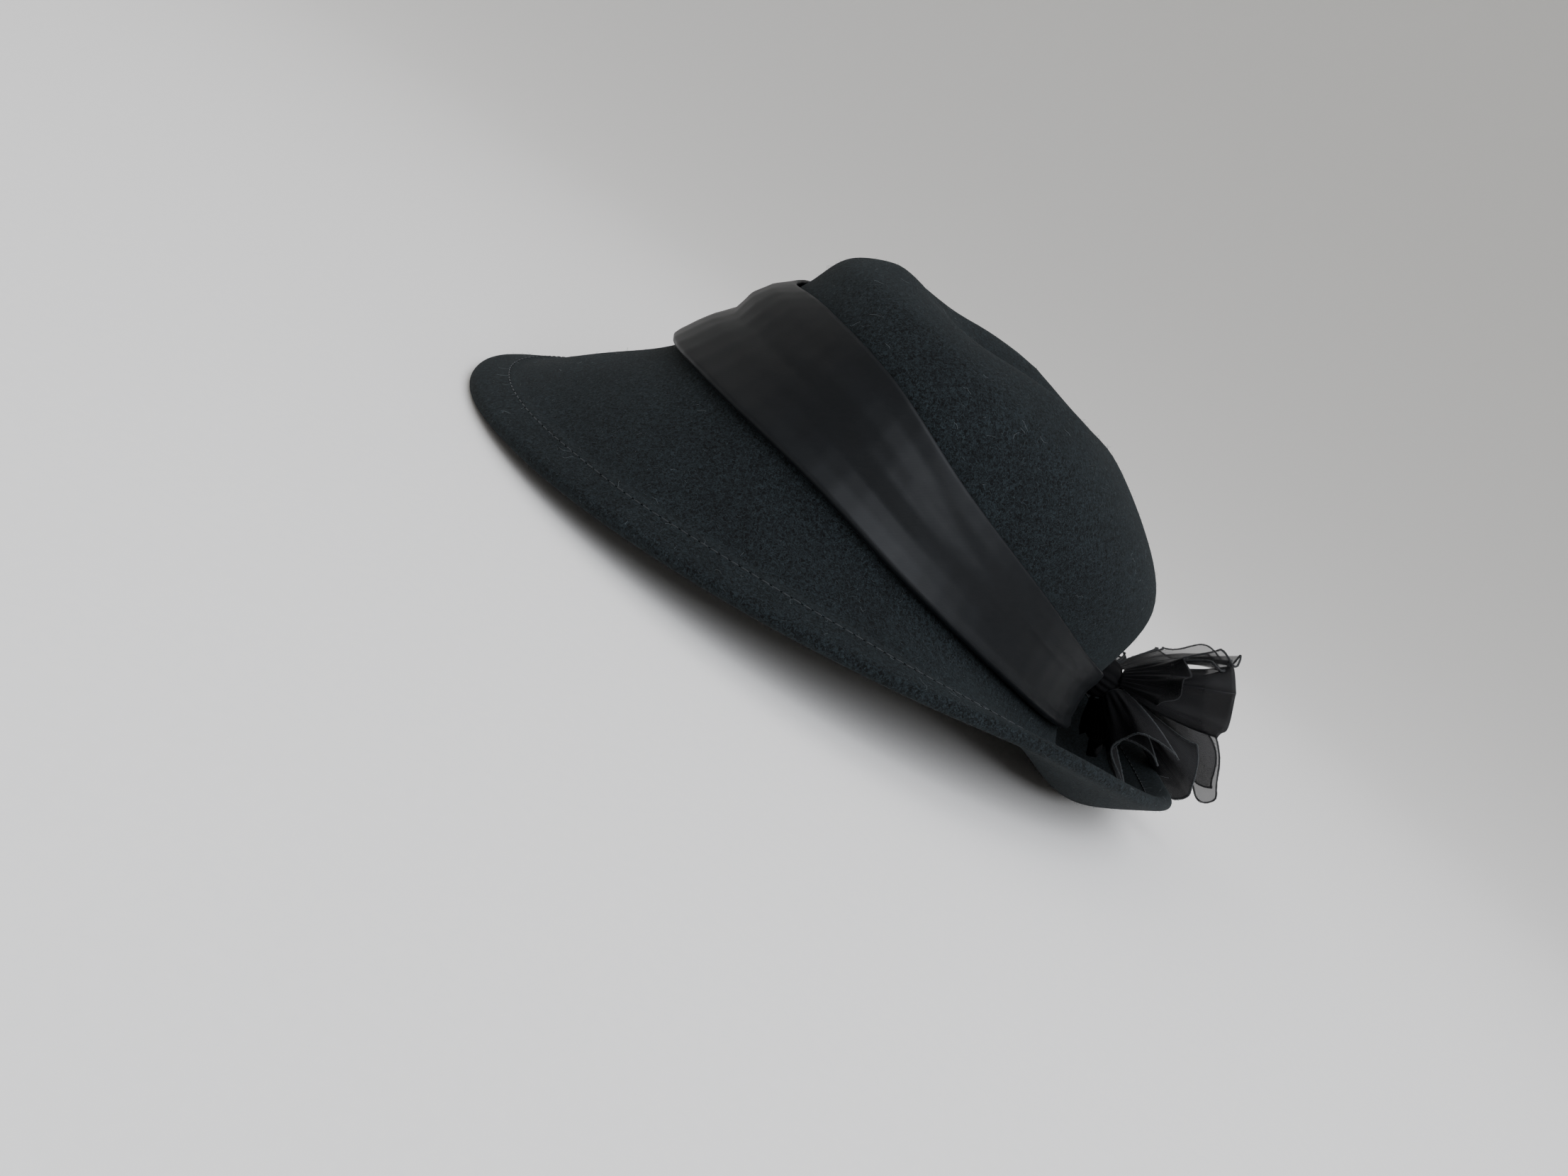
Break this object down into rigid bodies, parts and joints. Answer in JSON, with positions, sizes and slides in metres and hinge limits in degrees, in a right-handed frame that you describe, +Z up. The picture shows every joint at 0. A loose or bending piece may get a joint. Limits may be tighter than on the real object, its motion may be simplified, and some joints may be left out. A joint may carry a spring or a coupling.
{
  "type": "wide-brim hat",
  "caption": "Blocked wool-felt hat with a dented crown, a wide brim that dips in front and turns up behind, a folded satin band and a chiffon rosette at the back.",
  "frame": {"origin": "centre of the bounding box's bottom, on the surface that the hat rests on", "axes": "+Z up from the surface, -Y towards the front of the hat, +X towards the wearer's left"},
  "size_m": [0.2528, 0.3388, 0.1229],
  "materials": {
    "felt": "matt black wool felt with a faint nap",
    "satin": "charcoal satin with a soft sheen",
    "chiffon": "sheer black chiffon with overlocked edges"
  },
  "bodies": {
    "root": {"felt_body": "felt", "satin_band": "satin", "rosette_knot": "chiffon", "petal_top": "chiffon", "petal_back": "chiffon", "petal_left_upper": "chiffon", "petal_left": "chiffon", "petal_left_lower": "chiffon", "petal_low": "chiffon", "petal_low_left": "chiffon", "petal_low_right": "chiffon", "petal_low_back": "chiffon", "petal_right_lower": "chiffon", "petal_right_upper": "chiffon"}
  },
  "joints": []
}
